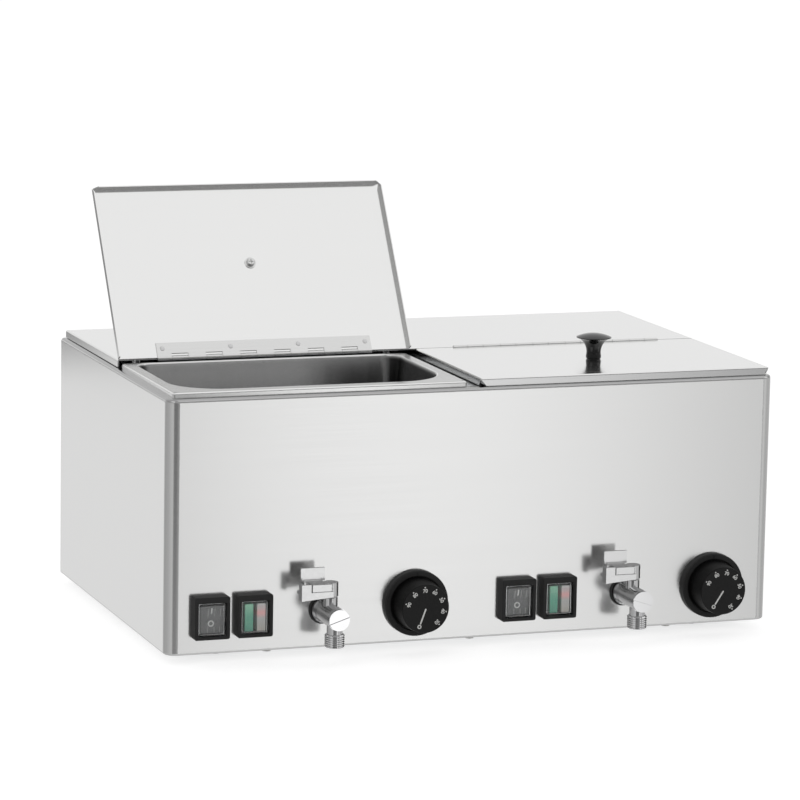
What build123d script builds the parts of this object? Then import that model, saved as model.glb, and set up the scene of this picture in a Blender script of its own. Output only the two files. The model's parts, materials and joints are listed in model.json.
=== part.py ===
from math import cos, pi, radians, sin, tan
import os

from build123d import *

os.makedirs("parts", exist_ok=True)

# Casing: outside sizes, sheet and bends
casing_width = 540.0
casing_depth = 340.0
casing_height = 214.0
sheet = 1.0
front_corner = 10.0
rear_corner = 2.0
top_bend = 3.0
bottom_bend = 2.0
rim_width = 9.0
deck_rim_width = 16.0
base_flange_width = 18.0
fit_gap = 0.3

# Feet
foot_height = 8.5
foot_top_radius = 11.5
foot_bottom_radius = 9.5
foot_inset_x = 54.0
foot_inset_y = 45.0
foot_plug_radius = 4.0
foot_head_radius = 5.5
foot_head_height = 4.0

# Lids and rear deck: rise over the casing, inset from its faces, turned-down edges
cover_rise = 7.0
cover_inset = 3.8
cover_gap = 0.5
cover_bend = 1.5
lid_gap = 5.8
notch_width = 5.0

# Hinges
hinge_y = -4.5
hinge_gap = 0.6
hinge_notch = 2.3
stop_angle = 125.5
open_angle = 123.0
barrel_radius = 2.0
pin_radius = 1.1
running_gap = 0.05
leaf_thickness = 0.9
leaf_width = 14.0
slot_depth = 4.0
slot_width = 14.8
knuckle_width = 15.8
end_knuckle_width = 12.7
slot_count = 6

# Basins
rim_plate_rise = 4.8
rim_plate_gap = 0.8
rim_plate_rear_gap = 5.7
basin_gap = 17.4
rim_plate_bend = 1.6
bowl_side_rim = 10.85
bowl_end_rim = 12.6
bowl_corner = 41.0
bowl_depth = 150.0
bowl_taper = 4.0
bowl_lip = 4.0
bowl_floor_radius = 18.0
relief_radius = 0.9
relief_inset = 3.2

# Lid knobs
knob_forward = 5.85
knob_height = 22.5
knob_cap_radius = 15.1
knob_rim_height = 18.6
knob_waist_radius = 6.3
knob_waist_height = 7.5
knob_flare_radius = 9.2
knob_flare_height = 14.6
knob_foot_radius = 6.6
knob_foot_height = 3.0
knob_groove = 0.6
knob_screw_depth = 10.0
screw_radius = 2.0
screw_head_radius = 3.6
screw_head_height = 2.4
washer_radius = 5.0
washer_thickness = 0.8
cross_slot_width = 0.9
cross_slot_length = 4.0
cross_slot_depth = 1.2

# Front controls: places from each tap as shares of the tap spacing, and above the casing floor
tap_rise = 32.5
switch_share = -0.363
lamp_share = -0.226
dial_share = 0.302
switch_rise = 32.0
dial_rise = 33.8

# Switches and lamps
frame_width = 30.4
frame_height = 35.9
frame_depth = 9.0
frame_corner = 1.8
frame_bevel = 0.6
frame_side_bar = 2.45
frame_top_bar = 4.9
frame_foot_bar = 2.4
frame_slope = 2.4
housing_width = 26.6
housing_height = 31.6
housing_depth = 22.0
cavity_width = 21.6
cavity_height = 26.0
cavity_depth = 12.0
blade_width = 6.3
blade_thickness = 0.8
blade_length = 8.0
cap_thickness = 0.8
cap_recess = 0.5
rocker_width = 20.4
rocker_height = 24.0
rocker_depth = 4.5
rocker_dish = 1.6
rocker_tilt = 8.0
pivot_reach = 0.5
pivot_radius = 1.5
pivot_length = 1.6
lens_width = 7.2
lens_height = 23.1
lens_pitch = 10.6

# Thermostats and dials
ring_radius = 28.0
ring_bevel = 0.8
ring_depth = 5.0
ring_hole_radius = 23.7
ring_web = 1.5
tick_width = 0.8
tick_depth = 0.5
dial_base_radius = 22.3
dial_face_radius = 20.6
dial_reach = 27.0
dial_base_setback = 4.5
dial_edge = 0.8
shaft_radius = 3.0
shaft_flat = 1.0
shaft_reach = 20.0
shaft_in_body = 12.0
bush_radius = 4.8
thermostat_width = 36.0
thermostat_depth = 24.0
screw_pitch = 28.0
feeler_radius = 3.0
feeler_length = 70.0
capillary_radius = 1.2
capillary_rise = 9.0
capillary_bend = 8.0
feeler_behind = 36.3
feeler_drop = 0.6

# Drain taps
tap_radius = 9.3
tap_reach = 40.5
tap_collar_radius = 10.6
tap_collar_thickness = 5.0
tap_groove_width = 1.0
tap_groove_depth = 0.6
tap_groove_pitch = 3.2
tap_tail_radius = 8.2
tap_tail_length = 20.0
tap_bore = 5.5
tap_socket_depth = 6.0
chamber_radius = 7.4
chamber_start = 12.0
stem_reach = 20.0
outlet_reach = 32.0
outlet_radius = 8.33
outlet_bore = 5.2
outlet_neck_radius = 6.6
outlet_thread_top = 18.7
outlet_bottom = 7.7
thread_pitch = 1.8
thread_depth = 0.7
thread_crest = 0.6
ball_radius = 6.9
ball_bore = 4.0
stem_radius = 3.0
bonnet_radius = 6.0
bonnet_top = 47.0
plug_radius = 8.9
plug_thickness = 4.0
plug_shank_length = 5.0
plug_slot_width = 1.6
plug_slot_depth = 1.0
plug_slot_turn = 18.0
tap_nut_flats = 24.0
tap_nut_thickness = 5.0

# Tap levers, heights above the casing floor
lever_length = 27.5
lever_front = 8.0
lever_rear = 5.0
lever_wall = 2.4
lever_hub_radius = 6.4
lever_low_tip = 46.4
lever_low_hub = 48.6
lever_shelf = 53.2
lever_high = 60.0
lever_post_width = 8.3
block_near = 1.2
block_far = 17.7
block_setback = 1.4
block_edge = 0.8
tab_near = 3.5
tab_far = 24.3
tab_low = 60.6
tab_high = 71.3
tab_thickness = 2.6
tab_bridge_inset = 2.6

# Drain pipes and heaters
drain_forward = 20.7
pipe_radius = 7.0
pipe_bend = 18.0
heater_inset = 4.25
heater_thickness = 4.0
heater_hole_radius = 10.0
stud_radius = 2.0
stud_length = 9.0
heater_stud_inset = 24.25
nut_flats = 7.0
nut_thickness = 3.2

# Base plate, rails, gland and terminal block
vent_length = 60.0
vent_width = 4.0
vent_pitch = 12.0
vent_count = 8
rail_sheet = 1.5
rail_height = 18.0
cross_rail_ahead = 8.1
cross_rail_behind = 18.5
centre_rail_overlap = 3.3
collar_radius = 4.0
stud_inset = 10.0
side_stud_front_inset = 120.0
side_stud_rear_inset = 45.0
rear_stud_inset = 70.0
rail_stud_inner = 20.0
rail_stud_inset = 24.0
rail_stud_behind = 13.5
deck_stud_length = 6.0
base_screw_inset = 11.0
base_screw_corner = 90.0
base_screw_length = 6.0
gland_inset = 70.0
gland_rise = 32.0
gland_radius = 10.0
gland_head_radius = 12.0
gland_head_length = 7.0
gland_nut_flats = 27.0
gland_nut_length = 6.0
gland_bore = 4.2
gland_tail_length = 12.0
terminal_length = 64.0
terminal_width = 20.0
terminal_height = 16.0
terminal_inset_x = 120.0
terminal_inset_y = 60.0
terminal_hole_radius = 2.2
terminal_hole_pitch = 12.0
terminal_hole_count = 5

# Places that follow from the sizes
side_x = casing_width / 2
front_y = -casing_depth / 2
back_y = casing_depth / 2
floor_z = foot_height
rim_z = floor_z + casing_height
top_z = rim_z + cover_rise
under_z = top_z - sheet
flange_z = rim_z + cover_gap
pin_drop = hinge_gap * tan(radians((180 - stop_angle) / 2))
hinge_z = top_z - pin_drop
cover_x = side_x - cover_inset
cover_front = front_y + cover_inset
cover_back = back_y - cover_inset
lid_rear = hinge_y - hinge_gap
deck_front = hinge_y + hinge_gap
rim_plate_z = rim_z + rim_plate_rise
rim_plate_outer = cover_x - sheet - rim_plate_gap
rim_plate_front = cover_front + sheet + rim_plate_gap
rim_plate_rear = hinge_y - rim_plate_rear_gap
rim_plate_width = rim_plate_outer - basin_gap / 2
rim_plate_depth = rim_plate_rear - rim_plate_front
basin_x = rim_plate_outer - rim_plate_width / 2
basin_y = (rim_plate_front + rim_plate_rear) / 2
bowl_width = rim_plate_width - 2 * bowl_side_rim
bowl_length = rim_plate_depth - 2 * bowl_end_rim
bowl_floor_z = rim_plate_z - bowl_depth
bowl_under_z = bowl_floor_z - sheet
bowl_shrink = 2 * bowl_depth * tan(radians(bowl_taper))
heater_width = bowl_width - bowl_shrink - 2 * bowl_floor_radius - 2 * heater_inset
heater_depth = bowl_length - bowl_shrink - 2 * bowl_floor_radius - 2 * heater_inset
stud_spread = heater_width / 2 - heater_stud_inset
drain_y = basin_y - drain_forward
feeler_y = basin_y + feeler_behind
lid_x = (cover_x + lid_gap / 2) / 2
knob_y = (cover_front + lid_rear) / 2 - knob_forward
hinge_length = 2 * end_knuckle_width + (slot_count - 1) * knuckle_width + slot_count * slot_width
rail_z = rim_z - sheet
cross_rail_front = hinge_y - cross_rail_ahead
cross_rail_rear = hinge_y + cross_rail_behind
centre_rail_width = basin_gap + 2 * centre_rail_overlap
tap_spacing = casing_width / 2
tap_x = tap_spacing / 2
switch_offset = switch_share * tap_spacing
lamp_offset = lamp_share * tap_spacing
dial_offset = dial_share * tap_spacing
tap_z = floor_z + tap_rise
switch_z = floor_z + switch_rise
dial_z = floor_z + dial_rise
stem_y = front_y - stem_reach
balance_y = (tap_reach + plug_thickness - gland_nut_length - gland_head_length) / 2
diagonal = sin(radians(45))
sides = (("left", -1), ("right", 1))
hinge_axis = Axis((0, hinge_y, hinge_z), (1, 0, 0))


def slab(x0, x1, y0, y1, z0, z1, mode=Mode.ADD):
    with Locations(((x0 + x1) / 2, (y0 + y1) / 2, (z0 + z1) / 2)):
        Box(x1 - x0, y1 - y0, z1 - z0, mode=mode)


def post(x, y, z0, z1, radius, mode=Mode.ADD):
    with Locations((x, y, (z0 + z1) / 2)):
        Cylinder(radius, z1 - z0, mode=mode)


def rod_y(x, z, y0, y1, radius, mode=Mode.ADD):
    with Locations((x, (y0 + y1) / 2, z)):
        Cylinder(radius, y1 - y0, rotation=(90, 0, 0), mode=mode)


def rod_x(y, z, x0, x1, radius, mode=Mode.ADD):
    with Locations(((x0 + x1) / 2, y, z)):
        Cylinder(radius, x1 - x0, rotation=(0, 90, 0), mode=mode)


# Every piece moves back by this much, so that the origin is under the middle of the whole object
def save(piece, name):
    placed = piece.moved(Location((0, balance_y, 0)))
    placed.label = name
    export_step(placed, f"parts/{name}.step")


def front_plane(x, z, reach=0.0):
    return Plane(origin=(x, front_y - reach, z), x_dir=(1, 0, 0), z_dir=(0, -1, 0))


def hex_radius(flats):
    return flats / 2 / cos(pi / 6)


# Places of the studs under the rear deck and of the screws under the casing
side_stud_insets = (side_stud_front_inset, side_stud_rear_inset)
rear_stud_spread = side_x - rear_stud_inset
rail_stud_outer = side_x - rail_stud_inset
rail_stud_y = hinge_y + rail_stud_behind
foot_spread_x = side_x - foot_inset_x
foot_spread_y = back_y - foot_inset_y
base_screw_spread = side_x - base_screw_corner
rim_stud_places = [(s * (side_x - stud_inset), back_y - i) for s in (-1, 1) for i in side_stud_insets]
rim_stud_places += [(x, back_y - stud_inset) for x in (-rear_stud_spread, 0, rear_stud_spread)]
rail_stud_places = [(s * x, rail_stud_y) for s in (-1, 1) for x in (rail_stud_inner, rail_stud_outer)]
screw_y = back_y - base_screw_inset
base_screw_places = [(x, s * screw_y) for s in (-1, 1) for x in (-base_screw_spread, 0, base_screw_spread)]
base_screw_places += [(s * (side_x - base_screw_inset), 0) for s in (-1, 1)]
foot_places = [(i * foot_spread_x, j * foot_spread_y) for i in (-1, 1) for j in (-1, 1)]

# Casing: space inside the sheet, then the wrap with its rim, base flange and front cut-outs
with BuildPart() as casing_space:
    with BuildSketch(Plane.XY.offset(floor_z + sheet)) as space_outline:
        Rectangle(casing_width - 2 * sheet, casing_depth - 2 * sheet)
        fillet(space_outline.vertices().group_by(Axis.Y)[0], front_corner - sheet)
        fillet(space_outline.vertices().group_by(Axis.Y)[-1], rear_corner - sheet)
    extrude(amount=casing_height - 2 * sheet)
    fillet(casing_space.edges().group_by(Axis.Z)[-1], top_bend - sheet)
    fillet(casing_space.edges().group_by(Axis.Z)[0], bottom_bend - sheet)

with BuildPart() as casing:
    with BuildSketch(Plane.XY.offset(floor_z)) as casing_outline:
        Rectangle(casing_width, casing_depth)
        fillet(casing_outline.vertices().group_by(Axis.Y)[0], front_corner)
        fillet(casing_outline.vertices().group_by(Axis.Y)[-1], rear_corner)
    extrude(amount=casing_height)
    fillet(casing.edges().group_by(Axis.Z)[-1], top_bend)
    fillet(casing.edges().group_by(Axis.Z)[0], bottom_bend)
    add(casing_space.part, mode=Mode.SUBTRACT)
    mouth_x = side_x - rim_width
    slab(-mouth_x, mouth_x, front_y + rim_width, 0, rim_z - top_bend, rim_z, Mode.SUBTRACT)
    rear_x = side_x - deck_rim_width
    slab(-rear_x, rear_x, -sheet, back_y - deck_rim_width, rim_z - top_bend, rim_z, Mode.SUBTRACT)
    base_x = side_x - base_flange_width
    base_y = back_y - base_flange_width
    slab(-base_x, base_x, -base_y, base_y, floor_z, floor_z + bottom_bend, Mode.SUBTRACT)
    for x, y in rim_stud_places:
        post(x, y, rim_z - top_bend, rim_z, stud_radius + running_gap, Mode.SUBTRACT)
    for x, y in base_screw_places:
        post(x, y, floor_z, floor_z + bottom_bend, screw_radius + running_gap, Mode.SUBTRACT)
    for side, s in sides:
        for offset in (switch_offset, lamp_offset):
            x = s * tap_x + offset
            half_width = housing_width / 2 + fit_gap
            half_height = housing_height / 2 + fit_gap
            slab(x - half_width, x + half_width, front_y, front_y + sheet,
                 switch_z - half_height, switch_z + half_height, Mode.SUBTRACT)
        dial_x = s * tap_x + dial_offset
        rod_y(dial_x, dial_z, front_y, front_y + sheet, bush_radius + fit_gap, Mode.SUBTRACT)
        for i in (-1, 1):
            rod_y(dial_x + i * screw_pitch / 2, dial_z, front_y, front_y + sheet,
                  screw_radius + running_gap, Mode.SUBTRACT)
        rod_y(s * tap_x, tap_z, front_y, front_y + sheet, tap_tail_radius + fit_gap, Mode.SUBTRACT)
    gland_x = side_x - gland_inset
    rod_y(gland_x, floor_z + gland_rise, back_y - sheet, back_y, gland_radius + fit_gap, Mode.SUBTRACT)
save(casing.part, "casing")

# Base plate: rests on the casing's base flange, with vent slots and holes for feet and screws
base_low = floor_z + sheet
base_high = base_low + sheet
with BuildPart() as base_plate:
    edge = 2 * (bottom_bend + fit_gap)
    with BuildSketch(Plane.XY.offset(base_low)) as base_outline:
        Rectangle(casing_width - edge, casing_depth - edge)
        fillet(base_outline.vertices().group_by(Axis.Y)[0], front_corner)
        fillet(base_outline.vertices().group_by(Axis.Y)[-1], rear_corner)
        for s in (-1, 1):
            with Locations((s * casing_width / 4, 0)):
                with GridLocations(0, vent_pitch, 1, vent_count):
                    SlotOverall(vent_length, vent_width, mode=Mode.SUBTRACT)
        with Locations(*foot_places):
            Circle(foot_plug_radius + running_gap, mode=Mode.SUBTRACT)
        with Locations(*base_screw_places):
            Circle(screw_radius + running_gap, mode=Mode.SUBTRACT)
    extrude(amount=sheet)
save(base_plate.part, "base_plate")

# Feet: rubber cones with a snap plug through the base plate
with BuildPart() as foot:
    with BuildSketch(Plane.XZ):
        with BuildLine():
            foot_tip = base_high + foot_head_height
            Polyline((0, 0), (foot_bottom_radius, 0), (foot_top_radius, base_low),
                     (foot_plug_radius, base_low), (foot_plug_radius, base_high),
                     (foot_head_radius, base_high), (foot_plug_radius, foot_tip), (0, foot_tip), close=True)
        make_face()
    revolve(axis=Axis.Z)

with BuildPart() as feet:
    with Locations(*foot_places):
        add(foot.part)
save(feet.part, "feet")

# Screws that hold the base plate to the casing's base flange
with BuildPart() as base_screws:
    for x, y in base_screw_places:
        post(x, y, floor_z - screw_head_height, floor_z, screw_head_radius)
        post(x, y, floor_z, base_high + base_screw_length, screw_radius)
save(base_screws.part, "base_screws")

# Cross rail: channel under the rim from side to side, below the hinges
with BuildPart() as cross_rail:
    rail_x = side_x - top_bend
    slab(-rail_x, rail_x, cross_rail_front, cross_rail_rear, rail_z - rail_height, rail_z)
    slab(-rail_x, rail_x, cross_rail_front + rail_sheet, cross_rail_rear - rail_sheet,
         rail_z - rail_height, rail_z - rail_sheet, Mode.SUBTRACT)
    for x, y in rail_stud_places:
        post(x, y, rail_z - rail_sheet, rail_z, stud_radius + running_gap, Mode.SUBTRACT)
save(cross_rail.part, "cross_rail")

# Centre rail: channel from the front rim to the cross rail, between the basins
with BuildPart() as centre_rail:
    half = centre_rail_width / 2
    rail_front = front_y + top_bend
    slab(-half, half, rail_front, cross_rail_front, rail_z - rail_height, rail_z)
    slab(-half + rail_sheet, half - rail_sheet, rail_front, cross_rail_front,
         rail_z - rail_height, rail_z - rail_sheet, Mode.SUBTRACT)
save(centre_rail.part, "centre_rail")

# Rear deck: sheet turned down on three sides, notched at the hinges, welded studs with collars below
with BuildPart() as rear_deck:
    slab(-cover_x, cover_x, deck_front, cover_back, flange_z, top_z)
    fillet(rear_deck.faces().sort_by(Axis.Z)[-1].edges().sort_by(Axis.Y)[1:], cover_bend)
    inner_x = cover_x - sheet
    slab(-inner_x, inner_x, deck_front, cover_back - sheet, flange_z, under_z, Mode.SUBTRACT)
    notch_x = hinge_length / 2 + fit_gap
    for side, s in sides:
        slab(s * lid_x - notch_x, s * lid_x + notch_x, deck_front, hinge_y + hinge_notch, under_z, top_z,
             Mode.SUBTRACT)
    for x, y in rim_stud_places:
        post(x, y, rim_z, under_z, collar_radius)
        post(x, y, rim_z - sheet - deck_stud_length, rim_z, stud_radius)
    for x, y in rail_stud_places:
        post(x, y, rail_z, under_z, collar_radius)
        post(x, y, rail_z - rail_sheet - deck_stud_length, rail_z, stud_radius)
save(rear_deck.part, "rear_deck")

# Nuts under the deck's studs
with BuildPart() as deck_nuts:
    for places, seat in ((rim_stud_places, rim_z - sheet), (rail_stud_places, rail_z - rail_sheet)):
        with BuildSketch(Plane.XY.offset(seat - nut_thickness)):
            with Locations(*places):
                RegularPolygon(hex_radius(nut_flats), 6)
                Circle(stud_radius + running_gap, mode=Mode.SUBTRACT)
        extrude(amount=nut_thickness)
save(deck_nuts.part, "deck_nuts")

# Basins: rim plate with turned-down edge, tapered bowl, drain hole and studs for the heater
for side, s in sides:
    x = s * basin_x
    with BuildPart() as bowl_space:
        with BuildSketch(Plane.XY.offset(rim_plate_z)):
            with Locations((x, basin_y)):
                RectangleRounded(bowl_width, bowl_length, bowl_corner)
        with BuildSketch(Plane.XY.offset(bowl_floor_z)):
            with Locations((x, basin_y)):
                RectangleRounded(bowl_width - bowl_shrink, bowl_length - bowl_shrink,
                                 bowl_corner - bowl_shrink / 2)
        loft()
        fillet(bowl_space.edges().group_by(Axis.Z)[0], bowl_floor_radius)
    with BuildPart() as basin:
        plate_x = rim_plate_width / 2
        plate_y = rim_plate_depth / 2
        slab(x - plate_x, x + plate_x, basin_y - plate_y, basin_y + plate_y, rim_z, rim_plate_z)
        fillet(basin.edges().filter_by(Axis.Z), rim_plate_bend)
        fillet(basin.edges().group_by(Axis.Z)[-1], rim_plate_bend)
        slab(x - plate_x + sheet, x + plate_x - sheet, basin_y - plate_y + sheet, basin_y + plate_y - sheet,
             rim_z, rim_plate_z - sheet, Mode.SUBTRACT)
        skin_top = rim_plate_z - sheet
        skin = 2 * sheet
        low_width = bowl_width - bowl_shrink + skin
        low_length = bowl_length - bowl_shrink + skin
        with BuildSketch(Plane.XY.offset(skin_top)):
            with Locations((x, basin_y)):
                RectangleRounded(bowl_width + skin, bowl_length + skin, bowl_corner + sheet)
        with BuildSketch(Plane.XY.offset(bowl_under_z)):
            with Locations((x, basin_y)):
                RectangleRounded(low_width, low_length, bowl_corner - bowl_shrink / 2 + sheet)
        loft()
        fillet(basin.edges().group_by(Axis.Z)[0], bowl_floor_radius + sheet)
        throat = basin.edges().filter_by_position(Axis.Z, skin_top - sheet / 10, skin_top + sheet / 10)
        throat = throat.filter_by(lambda e: abs(e.center().X - x) < bowl_width / 2 + skin)
        throat = throat.filter_by(lambda e: abs(e.center().Y - basin_y) < bowl_length / 2 + skin)
        fillet(throat, bowl_lip - sheet)
        add(bowl_space.part, mode=Mode.SUBTRACT)
        lip = basin.edges().filter_by_position(Axis.Z, rim_plate_z - sheet / 10, rim_plate_z + sheet / 10)
        lip = lip.filter_by(lambda e: abs(e.center().X - x) < bowl_width / 2 + skin)
        lip = lip.filter_by(lambda e: abs(e.center().Y - basin_y) < bowl_length / 2 + skin)
        fillet(lip, bowl_lip)
        post(s * tap_x, drain_y, bowl_under_z, bowl_floor_z, pipe_radius + running_gap, Mode.SUBTRACT)
        for i in (-1, 1):
            for j in (-1, 1):
                post(x + i * (plate_x - relief_inset), basin_y + j * (plate_y - relief_inset),
                     rim_plate_z - sheet, rim_plate_z, relief_radius, Mode.SUBTRACT)
            post(x + i * stud_spread, basin_y, bowl_under_z - stud_length, bowl_under_z, stud_radius)
    save(basin.part, f"basin_{side}")

# Heaters: flat plates pressed to the basin floors, with a hole for the drain and two blades
for side, s in sides:
    x = s * basin_x
    with BuildPart() as heater:
        with BuildSketch(Plane.XY.offset(bowl_under_z - heater_thickness)):
            with Locations((x, basin_y)):
                RectangleRounded(heater_width, heater_depth, heater_thickness)
            with Locations((s * tap_x, drain_y)):
                Circle(heater_hole_radius, mode=Mode.SUBTRACT)
            with Locations((x - stud_spread, basin_y), (x + stud_spread, basin_y)):
                Circle(stud_radius + running_gap, mode=Mode.SUBTRACT)
        extrude(amount=heater_thickness)
        for i in (-1, 1):
            blade_x = x + i * blade_length
            slab(blade_x - blade_thickness / 2, blade_x + blade_thickness / 2, basin_y, basin_y + blade_width,
                 bowl_under_z - heater_thickness - blade_length, bowl_under_z - heater_thickness)
    save(heater.part, f"heater_{side}")

with BuildPart() as heater_nuts:
    with BuildSketch(Plane.XY.offset(bowl_under_z - heater_thickness - nut_thickness)):
        places = [(s * basin_x + i * stud_spread, basin_y) for s in (-1, 1) for i in (-1, 1)]
        with Locations(*places):
            RegularPolygon(hex_radius(nut_flats), 6)
            Circle(stud_radius + running_gap, mode=Mode.SUBTRACT)
    extrude(amount=nut_thickness)
save(heater_nuts.part, "heater_nuts")

# Drain pipes: from the basin floor down and forward into the socket of the tap
tail_end = front_y + tap_tail_length
pipe_end = tail_end - tap_socket_depth
for side, s in sides:
    x = s * tap_x
    with BuildPart() as drain_pipe:
        with BuildLine() as pipe_path:
            arc_inset = pipe_bend - diagonal * pipe_bend
            Line((x, drain_y, bowl_floor_z), (x, drain_y, tap_z + pipe_bend))
            ThreePointArc((x, drain_y, tap_z + pipe_bend), (x, drain_y - arc_inset, tap_z + arc_inset),
                          (x, drain_y - pipe_bend, tap_z))
            Line((x, drain_y - pipe_bend, tap_z), (x, pipe_end, tap_z))
        with BuildSketch(Plane.XY.offset(bowl_floor_z)):
            with Locations((x, drain_y)):
                Circle(pipe_radius)
                Circle(tap_bore, mode=Mode.SUBTRACT)
        sweep(path=pipe_path.wires()[0])
    save(drain_pipe.part, f"drain_pipe_{side}")

# Lids: sheet with edges turned down at front and sides, notched at the front corners and at the hinge
for side, s in sides:
    inner = lid_gap / 2
    with BuildPart() as lid:
        x0, x1 = (inner, cover_x) if s > 0 else (-cover_x, -inner)
        slab(x0, x1, cover_front, lid_rear, flange_z, top_z)
        fillet(lid.faces().sort_by(Axis.Z)[-1].edges().sort_by(Axis.Y)[:-1], cover_bend)
        slab(x0 + sheet, x1 - sheet, cover_front + sheet, lid_rear, flange_z, under_z, Mode.SUBTRACT)
        for corner, inward in ((x0, 1), (x1, -1)):
            with BuildSketch(Plane.XZ.offset(-cover_front)):
                with BuildLine():
                    Polyline((corner, under_z), (corner, flange_z),
                             (corner + inward * notch_width, flange_z), close=True)
                make_face()
            extrude(amount=-sheet, mode=Mode.SUBTRACT)
            with BuildSketch(Plane.YZ.offset(corner)):
                with BuildLine():
                    Polyline((cover_front, under_z), (cover_front, flange_z),
                             (cover_front + notch_width, flange_z), close=True)
                make_face()
            extrude(amount=inward * sheet, mode=Mode.SUBTRACT)
        post(s * lid_x, knob_y, under_z, top_z, screw_radius + running_gap, Mode.SUBTRACT)
        slab(s * lid_x - notch_x, s * lid_x + notch_x, hinge_y - hinge_notch, lid_rear, under_z, top_z,
             Mode.SUBTRACT)
    piece = lid.part.rotate(hinge_axis, -open_angle) if s < 0 else lid.part
    save(piece, f"lid_{side}")

# Hinge leaves under the lids: seven knuckles, six slots, four weld points
step = slot_width + knuckle_width
leaf_low = under_z - leaf_thickness
for side, s in sides:
    start = s * lid_x - hinge_length / 2
    first_slot = start + end_knuckle_width
    with BuildPart() as lid_leaf:
        slab(start, start + hinge_length, hinge_y - leaf_width, hinge_y, leaf_low, under_z)
        rod_x(hinge_y, hinge_z, start, start + hinge_length, barrel_radius)
        for k in range(slot_count):
            slot = first_slot + k * step
            slab(slot, slot + slot_width, hinge_y - slot_depth, hinge_y + barrel_radius,
                 hinge_z - barrel_radius, hinge_z + barrel_radius, Mode.SUBTRACT)
        rod_x(hinge_y, hinge_z, start, start + hinge_length, pin_radius + running_gap, Mode.SUBTRACT)
    piece = lid_leaf.part.rotate(hinge_axis, -open_angle) if s < 0 else lid_leaf.part
    save(piece, f"lid_leaf_{side}")

# Hinge leaves under the deck: six knuckles that fill the slots of the lid leaves
for side, s in sides:
    start = s * lid_x - hinge_length / 2
    first_slot = start + end_knuckle_width
    with BuildPart() as deck_leaf:
        slab(start, start + hinge_length, hinge_y + slot_depth, hinge_y + leaf_width, leaf_low, under_z)
        for k in range(slot_count):
            left = first_slot + k * step + fit_gap
            right = left + slot_width - 2 * fit_gap
            slab(left, right, hinge_y, hinge_y + slot_depth, leaf_low, under_z)
            rod_x(hinge_y, hinge_z, left, right, barrel_radius)
        rod_x(hinge_y, hinge_z, start, start + hinge_length, pin_radius + running_gap, Mode.SUBTRACT)
    save(deck_leaf.part, f"deck_leaf_{side}")

with BuildPart() as hinge_pins:
    for side, s in sides:
        rod_x(hinge_y, hinge_z, s * lid_x - hinge_length / 2, s * lid_x + hinge_length / 2, pin_radius)
save(hinge_pins.part, "hinge_pins")

# Lid knobs: turned mushroom shape with a domed top, screwed from under the lid
dome_rise = knob_height - knob_rim_height - knob_groove
dome_radius = (knob_cap_radius ** 2 + dome_rise ** 2) / (2 * dome_rise)
dome_mid = knob_height - dome_radius + (dome_radius ** 2 - (knob_cap_radius / 2) ** 2) ** 0.5
for side, s in sides:
    with BuildPart() as lid_knob:
        with BuildSketch(Plane.XZ) as knob_profile:
            with BuildLine():
                groove_radius = knob_foot_radius - knob_groove
                Polyline((0, 0), (groove_radius, 0), (groove_radius, knob_groove),
                         (knob_foot_radius, 2 * knob_groove), (knob_foot_radius, knob_foot_height))
                Spline((knob_foot_radius, knob_foot_height), (knob_waist_radius, knob_waist_height),
                       (knob_flare_radius, knob_flare_height), (knob_cap_radius, knob_rim_height))
                Line((knob_cap_radius, knob_rim_height), (knob_cap_radius, knob_rim_height + knob_groove))
                ThreePointArc((knob_cap_radius, knob_rim_height + knob_groove),
                              (knob_cap_radius / 2, dome_mid), (0, knob_height))
                Line((0, knob_height), (0, 0))
            make_face()
        revolve(axis=Axis.Z)
        post(0, 0, 0, knob_screw_depth, screw_radius + running_gap, Mode.SUBTRACT)
    piece = lid_knob.part.moved(Location((s * lid_x, knob_y, top_z)))
    save(piece.rotate(hinge_axis, -open_angle) if s < 0 else piece, f"lid_knob_{side}")

# Screws of the lid knobs: pan head with cross slot and washer face
for side, s in sides:
    with BuildPart() as knob_screw:
        head_z = under_z - washer_thickness
        post(s * lid_x, knob_y, head_z, under_z, washer_radius)
        post(s * lid_x, knob_y, head_z - screw_head_height, head_z, screw_head_radius)
        fillet(knob_screw.edges().group_by(Axis.Z)[0], screw_head_height / 2)
        post(s * lid_x, knob_y, under_z, top_z + knob_screw_depth - sheet, screw_radius)
        for length, width in ((cross_slot_length, cross_slot_width), (cross_slot_width, cross_slot_length)):
            with Locations((s * lid_x, knob_y, head_z - screw_head_height + cross_slot_depth / 2)):
                Box(length, width, cross_slot_depth, mode=Mode.SUBTRACT)
    piece = knob_screw.part.rotate(hinge_axis, -open_angle) if s < 0 else knob_screw.part
    save(piece, f"lid_knob_screw_{side}")

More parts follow.
